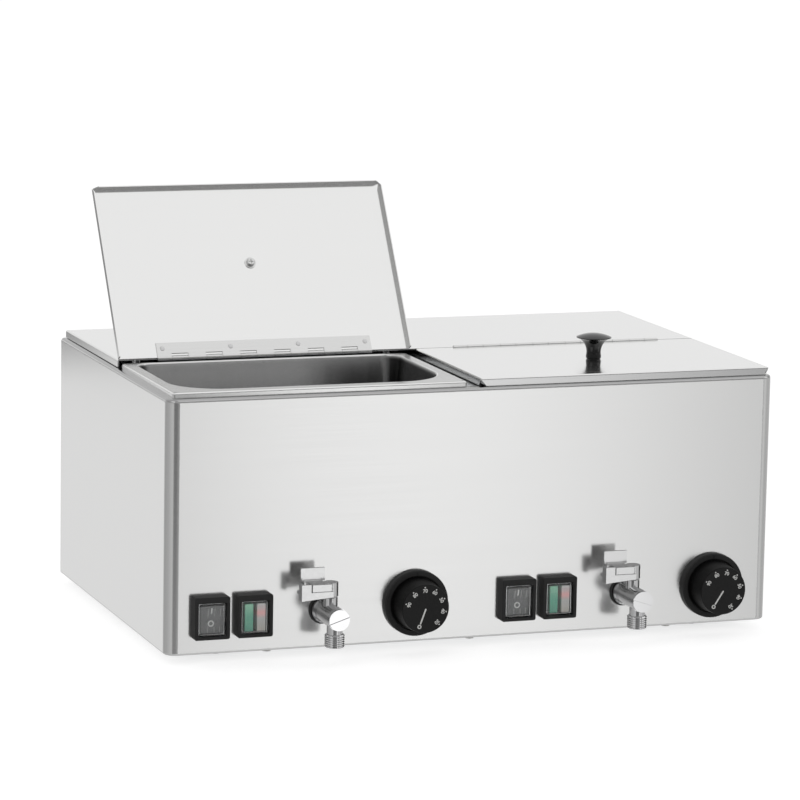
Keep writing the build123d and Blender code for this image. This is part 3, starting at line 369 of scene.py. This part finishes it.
# Heaters: flat plates of pressed aluminium under the basin floors, held by nuts on the basins' studs.
# The terminal block on the base plate is moulded from pale heat-resistant plastic.
heater_plate = new_finish("heater_plate", grey(0.6, 0.01), roughness=0.4, metallic=1.0)
grain(heater_plate, stretch=(60.0, 300.0, 300.0), detail=3.0, shades=(grey(0.54, 0.01), grey(0.64, 0.01)),
      roughness=(0.35, 0.5), relief=0.1)
dress(heater_plate, *pair("heater"))
white_plastic = new_finish("white_plastic", (0.78, 0.76, 0.7), roughness=0.5)
grain(white_plastic, stretch=(300.0, 300.0, 300.0), detail=2.0,
      shades=((0.75, 0.73, 0.67), (0.8, 0.78, 0.72)), roughness=(0.45, 0.55), relief=0.1)
dress(white_plastic, "terminal_block")

# Hinge pins, drain pipes, dial shafts and tap stems: drawn steel with fine drawing marks.
# The pins run through the hinge knuckles, and the pipes lead from the basin floors to the taps.
drawn_wire = new_finish("drawn_wire", grey(0.52), roughness=0.25, metallic=1.0)
grain(drawn_wire, stretch=(8.0, 1500.0, 1500.0), detail=2.0, shades=(grey(0.48), grey(0.56)),
      roughness=(0.2, 0.3), relief=0.04)
dress(drawn_wire, "hinge_pins", *pair("drain_pipe", "dial_shaft", "tap_stem"))

# Rear deck and lids: bright cold-rolled sheet with edges turned down, smoother than the casing.
# The grain runs from side to side and is so fine that the knob still mirrors in it.
# Edges that face straight to the front are painted darker than the flat sheet, as painted shade.
bright_sheet = new_finish("bright_sheet", grey(0.80, -0.005), roughness=0.15, metallic=1.0)
grain(bright_sheet, stretch=(8.0, 2400.0, 2400.0), detail=3.0, shades=sheet_shades,
      roughness=(0.13, 0.17), relief=0.01)
# Painted shade: faces that look to the front are painted darker.
tone_over(bright_sheet, "Normal", "Y", start=-0.9, full=-0.98, tone=grey(0.53))
dress(bright_sheet, "rear_deck", *pair("lid"))

# Hinge leaves: bright steel strip rolled into knuckles, seven on each lid leaf and six on each deck leaf.
# Each lid leaf is held by a row of spot welds, small shallow buttons on its face.
# The screws that hold the knobs from under the lids have the same finish.
weld_count = 4
weld_pitch = 0.061
weld_setback = 0.0085
weld_radius = 0.0021
weld_rise = 0.00022
leaf_drop = 0.00159
lid_turn_at_rest = {"left": math.radians(-123.0), "right": 0.0}

leaf_steel = new_finish("leaf_steel", grey(0.68, -0.005), roughness=0.22, metallic=1.0)
grain(leaf_steel, stretch=(8.0, 1800.0, 1800.0), detail=2.0, shades=(grey(0.66, -0.005), grey(0.70, -0.005)),
      roughness=(0.2, 0.26), relief=0.02)
dress(leaf_steel, *pair("lid_leaf", "deck_leaf", "lid_knob_screw"))
weld_steel = new_finish("weld_steel", grey(0.62), roughness=0.35, metallic=1.0)
grain(weld_steel, stretch=(700.0, 700.0, 700.0), detail=2.0, shades=(grey(0.58), grey(0.66)),
      roughness=(0.3, 0.42), relief=0.1)

weld_row = bpy.data.node_groups.new("weld_row", "GeometryNodeTree")
weld_row.interface.new_socket("Geometry", in_out="INPUT", socket_type="NodeSocketGeometry")
weld_inputs = {}
for name, kind in (("Count", "Int"), ("Pitch", "Float"), ("Radius", "Float"), ("Rise", "Float"),
                   ("Finish", "Material")):
    socket = weld_row.interface.new_socket(name, in_out="INPUT", socket_type="NodeSocket" + kind)
    weld_inputs[name] = socket.identifier
weld_row.interface.new_socket("Geometry", in_out="OUTPUT", socket_type="NodeSocketGeometry")
given = add_node(weld_row, "NodeGroupInput")
made = add_node(weld_row, "NodeGroupOutput")
step = add_node(weld_row, "ShaderNodeCombineXYZ")
line = add_node(weld_row, "GeometryNodeMeshLine")
button = add_node(weld_row, "GeometryNodeMeshUVSphere", {"Segments": 20, "Rings": 10, "Radius": 1.0})
size = add_node(weld_row, "ShaderNodeCombineXYZ")
flat = add_node(weld_row, "GeometryNodeTransform")
spread = add_node(weld_row, "GeometryNodeInstanceOnPoints")
whole = add_node(weld_row, "GeometryNodeRealizeInstances")
coat = add_node(weld_row, "GeometryNodeSetMaterial")
join(weld_row, (given, "Pitch", step, "X"), (given, "Count", line, "Count"), (step, "Vector", line, "Offset"),
     (given, "Radius", size, "X"), (given, "Radius", size, "Y"), (given, "Rise", size, "Z"),
     (button, "Mesh", flat, "Geometry"), (size, "Vector", flat, "Scale"), (line, "Mesh", spread, "Points"),
     (flat, "Geometry", spread, "Instance"), (spread, "Instances", whole, "Geometry"),
     (whole, "Geometry", coat, "Geometry"), (given, "Finish", coat, "Material"),
     (coat, "Geometry", made, "Geometry"))


def joint_place(name):
    return next(Vector(joint["pos_m"]) for joint in frame["joints"] if joint["name"] == name)


for side in sides:
    bare = add_object("weld_seed", bpy.data.meshes.new("weld_seed"))
    rule = bare.modifiers.new("weld_row", "NODES")
    rule.node_group = weld_row
    for name, value in (("Count", weld_count), ("Pitch", weld_pitch), ("Radius", weld_radius),
                        ("Rise", weld_rise), ("Finish", weld_steel)):
        rule[weld_inputs[name]] = value
    mesh = finished_mesh(bare)
    smooth(mesh)
    pin = Matrix.Translation(joint_place(f"{side}_lid_hinge"))
    swing = Matrix.Rotation(lid_turn_at_rest[side], 4, "X")
    row_start = (-weld_pitch * (weld_count - 1) / 2, -weld_setback, -leaf_drop)
    mesh.transform(pin @ swing @ Matrix.Translation(row_start))
    mesh.update()
    welds = add_object(f"lid_welds_{side}", mesh)
    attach(welds, f"{side}_lid")

# Lid knobs: mushroom shapes with a domed top, moulded from glossy black plastic.
# Each stands on its lid and is held by a screw from below.
gloss_black = new_finish("gloss_black", grey(0.005), roughness=0.06)
grain(gloss_black, stretch=(250.0, 250.0, 250.0), detail=2.0, shades=(grey(0.004), grey(0.006)),
      roughness=(0.04, 0.08), relief=0.01)
dress(gloss_black, *pair("lid_knob"))

# Switch and lamp housings, dial rings and cable gland: black moulded plastic with a fine eroded texture.
# The housings sit in cut-outs of the front, and the gland goes through the back.
# The rings lie on the front, held by the thermostats' screws.
satin_black = new_finish("satin_black", grey(0.035), roughness=0.42, sockets={"Specular IOR Level": 0.12})
grain(satin_black, stretch=(1200.0, 1200.0, 1200.0), detail=2.0, shades=(grey(0.028), grey(0.042)),
      roughness=(0.36, 0.48), relief=0.12)
dress(satin_black, "cable_gland", "gland_nut", *pair("switch_housing", "lamp_housing", "dial_ring"))

# Clear caps: soft see-through covers over the rockers and the lamp windows.
# They are moulded from flexible plastic with a little haze.
clear_cap = new_finish("clear_cap", (0.95, 0.96, 0.96), roughness=0.1,
                       sockets={"Transmission Weight": 1.0, "IOR": 1.38})
tree = clear_cap.node_tree
place = add_node(tree, "ShaderNodeTexCoord")
haze = add_node(tree, "ShaderNodeTexNoise", {"Scale": 140.0})
veil = add_node(tree, "ShaderNodeMapRange", {"To Min": 0.04, "To Max": 0.22})
join(tree, (place, "Object", haze, "Vector"), (haze, "Fac", veil, "Value"),
     (veil, "Result", shader_of(clear_cap), "Roughness"))
dress(clear_cap, *pair("switch_cap", "lamp_cap"))


# Lamp windows: one green and one red plastic lens behind each lamp's clear cap.
# Both are painted paler towards the top, as painted light from above, and the red one is washed out, with a
# pink patch in its upper third.
def window_finish(name, roughness, stops):
    finish = new_finish(name, stops[0][1], roughness)
    low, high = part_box("green_lens_left")
    tree = finish.node_tree
    place = add_node(tree, "ShaderNodeTexCoord")
    split = add_node(tree, "ShaderNodeSeparateXYZ")
    # Painted light: the colour runs paler with height.
    level = add_node(tree, "ShaderNodeMapRange", {"From Min": low.z, "From Max": high.z})
    colour = add_node(tree, "ShaderNodeValToRGB")
    colour.color_ramp.interpolation = "EASE"
    set_stops(colour.color_ramp, stops)
    join(tree, (place, "Object", split, "Vector"), (split, "Z", level, "Value"),
         (level, "Result", colour, "Fac"), (colour, "Color", shader_of(finish), "Base Color"))
    return finish


green_window = window_finish("green_window", roughness=0.22, stops=(
    (0.0, (0.09, 0.38, 0.26)), (0.45, (0.11, 0.45, 0.30)), (1.0, (0.30, 0.70, 0.48))))
red_window = window_finish("red_window", roughness=0.22, stops=(
    (0.0, (0.55, 0.51, 0.46)), (0.42, (0.62, 0.60, 0.58)), (0.66, (0.98, 0.55, 0.54)),
    (0.86, (0.80, 0.66, 0.65)), (1.0, (0.78, 0.76, 0.75))))
dress(green_window, *pair("green_lens"))
dress(red_window, *pair("red_lens"))

# Rockers: dished grey keys under the caps, printed with a white bar at the top and a ring at the bottom.
# Each turns on two trunnions. Faint upright ribs beside the marks give the finger grip; they are painted
# paler than the key as painted highlights.
rocker_half = 0.012
rocker_deep = 0.0029
rocker_dish = 0.0016
rocker_tilt = math.radians(8.0)
dish_angle = math.atan(rocker_dish / rocker_half)
mark_rise = 0.00012
bar_width = 0.0012
bar_low = 0.0056
bar_high = 0.0102
off_outer = 0.0027
off_inner = 0.0016
off_middle = (0, -0.0035)
rib_rise = 0.00025
rib_width = 0.0007
rib_places = (-0.0029, 0.0028, 0.0076)
upper_rib_ends = (0.0030, 0.0098)
lower_rib_ends = (-0.0066, -0.0106)

rocker_grey = new_finish("rocker_grey", grey(0.16), roughness=0.35)
grain(rocker_grey, stretch=(500.0, 500.0, 500.0), detail=2.0, shades=(grey(0.15), grey(0.19)),
      roughness=(0.3, 0.42), relief=0.06)
dress(rocker_grey, *pair("rocker"))
print_white = new_finish("print_white", grey(0.8, -0.02), roughness=0.45)
grain(print_white, stretch=(1500.0, 1500.0, 1500.0), detail=2.0,
      shades=(grey(0.74, -0.02), grey(0.84, -0.02)), roughness=(0.4, 0.52), relief=0.05)
# Painted highlight: the ribs' pale grey stands for the light they catch.
rib_painted_highlight = new_finish("rib_painted_highlight", grey(0.36), roughness=0.3)
grain(rib_painted_highlight, stretch=(500.0, 500.0, 500.0), detail=2.0, shades=(grey(0.33), grey(0.4)),
      roughness=(0.26, 0.36), relief=0.05)
front_turn = Matrix(((1, 0, 0, 0), (0, 0, -1, 0), (0, 1, 0, 0), (0, 0, 0, 1)))


def plate(thickness, outline, *holes):
    shape = bmesh.new()
    edges = []
    for ring in (outline, *holes):
        points = [shape.verts.new((x, y, 0.0)) for x, y in ring]
        for i in range(len(points)):
            edges.append(shape.edges.new((points[i], points[(i + 1) % len(points)])))
    bmesh.ops.triangle_fill(shape, edges=edges, use_beauty=True)
    grown = bmesh.ops.extrude_face_region(shape, geom=shape.faces[:])
    lifted = [one for one in grown["geom"] if isinstance(one, bmesh.types.BMVert)]
    bmesh.ops.translate(shape, verts=lifted, vec=(0.0, 0.0, thickness))
    bmesh.ops.recalc_face_normals(shape, faces=shape.faces[:])
    return shape


def stroke(start, end, width, steps=8):
    along = (Vector(end) - Vector(start)).normalized()
    base = math.atan2(along.y, along.x)
    points = []
    for tip, swing in ((end, base - math.pi / 2), (start, base + math.pi / 2)):
        for i in range(steps + 1):
            angle = swing + math.pi * i / steps
            points.append((tip[0] + width / 2 * math.cos(angle), tip[1] + width / 2 * math.sin(angle)))
    return points


def gather(name, shapes, finish):
    whole = bmesh.new()
    for shape, place in shapes:
        bmesh.ops.transform(shape, matrix=place, verts=shape.verts[:])
        part = bpy.data.meshes.new("part")
        shape.to_mesh(part)
        shape.free()
        whole.from_mesh(part)
        bpy.data.meshes.remove(part)
    mesh = bpy.data.meshes.new(name)
    whole.to_mesh(mesh)
    whole.free()
    mesh.materials.append(finish)
    return add_object(name, mesh)


for side in sides:
    pivot = Matrix.Translation(joint_place(f"{side}_rocker_tilt")) @ Matrix.Rotation(rocker_tilt, 4, "X")
    crease = pivot @ Matrix.Translation((0, -rocker_deep, 0))
    upper = crease @ Matrix.Rotation(dish_angle, 4, "X") @ front_turn
    lower = crease @ Matrix.Rotation(-dish_angle, 4, "X") @ front_turn
    bar = plate(mark_rise, stroke((0, bar_low), (0, bar_high), bar_width))
    off_ring = plate(mark_rise, circle(off_outer, count=40, middle=off_middle),
                     circle(off_inner, count=32, middle=off_middle))
    ribs = []
    for x in rib_places:
        for half_place, (start, end) in ((upper, upper_rib_ends), (lower, lower_rib_ends)):
            ribs.append((plate(rib_rise, stroke((x, start), (x, end), rib_width)), half_place))
    marks = gather(f"rocker_marks_{side}", ((bar, upper), (off_ring, lower)), print_white)
    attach(marks, f"{side}_rocker")
    grips = gather(f"rocker_ribs_{side}", ribs, rib_painted_highlight)
    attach(grips, f"{side}_rocker")

# Dials: black caps pressed on the thermostat shafts, satin on the face and deeper black round the side.
# White numbers with a dot run round the face, with a ring and a pointer line at the off place.
face_radius = 0.0199
number_place = 0.765 * face_radius
dot_place = 0.915 * face_radius
off_place = (0, 0.80 * face_radius)
pointer_start = 0.0004
pointer_end = 0.66 * face_radius
pointer_width = 0.0013
dot_radius = 0.00062
off_ring_outer = 0.0018
off_ring_inner = 0.0009
print_rise = 0.0001
figure_height = 0.0030
figure_share_of_size = 0.7
figure_rise = 0.00006
figure_lift = 0.00004
figure_weight = 0.0001
scale_angles = (("90", -74), ("80", -38), ("70", -3), ("60", 30), ("50", 64), ("40", 100), ("30", 139))
off_angle = 200
dial_turn_at_rest = {"left": 0.0, "right": 13.0}

dial_black = new_finish("dial_black", grey(0.04), roughness=0.4, sockets={"Specular IOR Level": 0.14})
grain(dial_black, stretch=(1100.0, 1100.0, 1100.0), detail=2.0, shades=(grey(0.017), grey(0.024)),
      roughness=(0.36, 0.46), relief=0.1)
tone_over(dial_black, "Normal", "Y", start=-0.95, full=-0.6, tone=grey(0.003))
dress(dial_black, *pair("dial"))


def numeral(words):
    letters = bpy.data.curves.new("letters", "FONT")
    letters.body = words
    letters.size = figure_height / figure_share_of_size
    letters.align_x = "CENTER"
    letters.align_y = "CENTER"
    letters.extrude = figure_rise
    letters.offset = figure_weight
    letters.resolution_u = 3
    mesh = finished_mesh(add_object("letters", letters))
    shape = bmesh.new()
    shape.from_mesh(mesh)
    bpy.data.meshes.remove(mesh)
    return shape


def face_place(side, angle):
    hub = joint_place(f"{side}_dial_turn")
    hub.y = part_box(f"dial_{side}")[0].y
    turn = Matrix.Rotation(-math.radians(angle + dial_turn_at_rest[side]), 4, "Z")
    return Matrix.Translation(hub) @ front_turn @ turn


for side in sides:
    prints = []
    for words, angle in scale_angles:
        place = face_place(side, angle)
        dot = plate(print_rise, circle(dot_radius, count=16))
        prints.append((numeral(words), place @ Matrix.Translation((0, number_place, figure_lift))))
        prints.append((dot, place @ Matrix.Translation((0, dot_place, 0))))
    off_ring = plate(print_rise, circle(off_ring_outer, count=36, middle=off_place),
                     circle(off_ring_inner, count=28, middle=off_place))
    pointer = plate(print_rise, stroke((0, pointer_start), (0, pointer_end), pointer_width))
    for shape in (off_ring, pointer):
        prints.append((shape, face_place(side, off_angle)))
    numbers = gather(f"dial_numbers_{side}", prints, print_white)
    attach(numbers, f"{side}_dial")

# Drain taps: cast brass bodies under polished chrome, with a slotted plug and a lever on the spindle.
# The levers are plated satin, and a black rubber ring seals each collar against the front.
seal_profile = ((0.0107, 0.0), (0.0119, 0.0), (0.0123, 0.0005), (0.0121, 0.0013), (0.0113, 0.0018),
                (0.0107, 0.0016))
seal_facets = 48
chrome = new_finish("chrome", grey(0.74, 0.005), roughness=0.1, metallic=1.0)
grain(chrome, stretch=(90.0, 90.0, 90.0), detail=2.0, shades=(grey(0.72, 0.005), grey(0.76, 0.005)),
      roughness=(0.08, 0.13), relief=0.02)
dress(chrome, "tap_plugs", *pair("tap_body"))
satin_chrome = new_finish("satin_chrome", grey(0.76), roughness=0.2, metallic=1.0)
grain(satin_chrome, stretch=(300.0, 300.0, 300.0), detail=2.0, shades=(grey(0.75), grey(0.77)),
      roughness=(0.19, 0.22), relief=0.01)
dress(satin_chrome, *pair("tap_lever"))

for side in sides:
    axis = joint_place(f"{side}_tap_turn")
    axis.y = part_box("casing")[0].y
    ring_shape = bmesh.new()
    rings = [round_ring(ring_shape, radius, z, seal_facets) for radius, z in seal_profile]
    bridge(ring_shape, [*rings, rings[0]])
    bmesh.ops.recalc_face_normals(ring_shape, faces=ring_shape.faces[:])
    seal = gather(f"tap_seal_{side}", [(ring_shape, Matrix.Translation(axis) @ front_turn)], rubber)
    smooth(seal.data)
    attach(seal, "housing")


# Floor: a plain pale sheet that carries the soft shadow.
# The camera sees it near white, and the metal mirrors the studio in its place.
def flat_sheet(name, finish, low, high, z):
    corners = [(low[0], low[1], z), (high[0], low[1], z), (high[0], high[1], z), (low[0], high[1], z)]
    mesh = bpy.data.meshes.new(name)
    mesh.from_pydata(corners, [], [(0, 1, 2, 3)])
    mesh.materials.append(finish)
    return add_object(name, mesh)


white = (1.0, 1.0, 1.0, 1.0)
floor_half = 60.0
floor_glow = 0.62
floor_paint = new_finish("floor_paint", grey(0.8), roughness=0.9,
                         sockets={"Specular IOR Level": 0.0, "Emission Color": white})
tree = floor_paint.node_tree
path = add_node(tree, "ShaderNodeLightPath")
seen = add_node(tree, "ShaderNodeMath", operation="MAXIMUM")
glow = add_node(tree, "ShaderNodeMath", {1: floor_glow}, operation="MULTIPLY")
join(tree, (path, "Is Camera Ray", seen, 0), (path, "Is Transmission Ray", seen, 1), (seen, "Value", glow, 0),
     (glow, "Value", shader_of(floor_paint), "Emission Strength"))
floor = flat_sheet("floor", floor_paint, low=(-floor_half, -floor_half), high=(floor_half, floor_half), z=0.0)
floor.visible_glossy = False

# Studio: the room that the metal mirrors, a table, dim walls in front, a pale wall behind and a ceiling.
# Each band of the room has levels by bearing, in degrees from the front and positive to the right.
# Diffuse light is plain white at half strength, and what the camera sees behind the floor is white.
diffuse_share = 0.5
world = bpy.data.worlds.new("studio")
bpy.context.scene.world = world
world.use_nodes = True
room = world.node_tree
background = room.nodes["Background"]
look = add_node(room, "ShaderNodeTexCoord")
direction = add_node(room, "ShaderNodeSeparateXYZ")
ahead = add_node(room, "ShaderNodeMath", {1: -1.0}, operation="MULTIPLY")
bearing = add_node(room, "ShaderNodeMath", operation="ARCTAN2")
turned = add_node(room, "ShaderNodeMapRange", {"From Min": -math.pi, "From Max": math.pi})


def band(*stops):
    ramp = add_node(room, "ShaderNodeValToRGB")
    set_stops(ramp.color_ramp, [(0.5 + angle / 360.0, grey(level)) for angle, level in stops])
    join(room, (turned, "Result", ramp, "Fac"))
    return ramp.outputs["Color"]


def blended(lower, upper, start, full):
    share = add_node(room, "ShaderNodeMapRange", {"From Min": start, "From Max": full},
                     interpolation_type="SMOOTHSTEP")
    mix = add_node(room, "ShaderNodeMix", data_type="RGBA")
    join(room, (direction, "Z", share, "Value"), (share, "Result", mix, "Factor"))
    room.links.new(lower, mix.inputs["A"])
    room.links.new(upper, mix.inputs["B"])
    return mix.outputs["Result"]


near_table = band((-180, 0.6), (-90, 0.5), (-45, 0.55), (-20, 0.6), (0, 0.62), (45, 0.6), (90, 0.5),
                  (180, 0.6))
table = band((-180, 0.7), (-170, 0.78), (-160, 0.95), (-152, 0.50), (-140, 0.36), (-90, 0.42), (-42, 0.58),
             (-35, 0.13), (-2, 0.13), (5, 0.40), (10, 0.13), (13, 0.09), (15, 0.62), (17, 1.31), (19, 1.55),
             (21, 1.52), (23, 1.05), (25, 0.55), (28, 0.31), (32, 0.36), (38, 0.56), (45, 0.68), (70, 0.45),
             (110, 0.5), (180, 0.7))
walls = band((-180, 0.9), (-150, 0.8), (-125, 0.4), (-40, 0.3), (0, 0.36), (20, 0.28), (40, 0.36), (100, 0.4),
             (130, 0.7), (150, 0.9), (180, 0.9))
ceiling = band((-180, 0.95), (-90, 0.6), (-55, 0.42), (-20, 0.42), (15, 1.0), (40, 1.0), (180, 0.95))
below = blended(near_table, table, start=-0.34, full=-0.22)
above = blended(walls, ceiling, start=0.42, full=0.68)
mirrored = blended(below, above, start=-0.03, full=0.06)
path = add_node(room, "ShaderNodeLightPath")
plain = add_node(room, "ShaderNodeMix", data_type="RGBA", sockets={"A": white})
strength = add_node(room, "ShaderNodeMapRange", {"To Min": 1.0, "To Max": diffuse_share})
join(room, (look, "Generated", direction, "Vector"), (direction, "Y", ahead, 0),
     (direction, "X", bearing, 0), (ahead, "Value", bearing, 1), (bearing, "Value", turned, "Value"),
     (path, "Is Glossy Ray", plain, "Factor"), (plain, "Result", background, "Color"),
     (path, "Is Diffuse Ray", strength, "Value"), (strength, "Result", background, "Strength"))
room.links.new(mirrored, plain.inputs["B"])

# Grey card: a flat sheet on the floor behind the left end, which shows in mirrors only.
# It darkens what the upper left edges mirror, and it is lightest at the edge nearest to the object.
fade_start = 1.22
fade_end = 1.6
card_paint = new_finish("card_paint", grey(0.0), roughness=0.9,
                        sockets={"Specular IOR Level": 0.0, "Emission Color": white})
tree = card_paint.node_tree
place = add_node(tree, "ShaderNodeTexCoord")
split = add_node(tree, "ShaderNodeSeparateXYZ")
fade = add_node(tree, "ShaderNodeMapRange", {"From Min": fade_start, "From Max": fade_end,
                                             "To Min": 0.95, "To Max": 0.28})
join(tree, (place, "Object", split, "Vector"), (split, "Y", fade, "Value"),
     (fade, "Result", shader_of(card_paint), "Emission Strength"))
card = flat_sheet("grey_card", card_paint, low=(-1.9, 1.2), high=(0.1, 3.6), z=0.001)
card.visible_camera = False
card.visible_diffuse = False
card.visible_shadow = False
card.visible_transmission = False


# Soft boxes: two square lamps that stand high in front and shine on the object.
# The larger and stronger one is on the left.
def soft_box(name, place, width, power):
    target = Vector((0, 0, 0.1))
    lamp = bpy.data.lights.new(name, "AREA")
    lamp.shape = "SQUARE"
    lamp.size = width
    lamp.energy = power
    box = add_object(name, lamp)
    box.location = place
    box.rotation_euler = (target - Vector(place)).to_track_quat("-Z", "Y").to_euler()


soft_box("left_box", place=(-1.6, -1.2, 1.6), width=1.4, power=4.5)
soft_box("right_box", place=(1.8, -0.8, 1.2), width=1.0, power=2.2)

# Camera: a long lens from the front left, a little above the lids.
# The aim point lies right of the picture's middle and below it, by the two offsets in pixels.
picture_px = 800
focal_px = 4073.436
sensor = 36.0
azimuth = math.radians(-19.704)
elevation = math.radians(9.744)
roll = math.radians(1.054)
distance = 3.573806
aim = Vector((0.0, 0.01575, 0.121))
off_right = 8.584
off_down = 70.084
back = Vector((math.sin(azimuth) * math.cos(elevation), -math.cos(azimuth) * math.cos(elevation),
               math.sin(elevation)))
level_right = Vector((0, 0, 1)).cross(back).normalized()
level_up = back.cross(level_right)
right = math.cos(roll) * level_right + math.sin(roll) * level_up
up = math.cos(roll) * level_up - math.sin(roll) * level_right
eye = aim + distance * (back - right * off_right / focal_px + up * off_down / focal_px)
view = bpy.data.cameras.new("camera")
view.sensor_width = sensor
view.lens = focal_px / picture_px * sensor
view.clip_end = 200.0
camera = add_object("camera", view)
camera.matrix_world = Matrix.Translation(eye) @ Matrix((right, up, back)).transposed().to_4x4()
bpy.context.scene.camera = camera
bpy.context.scene.view_settings.view_transform = "Standard"
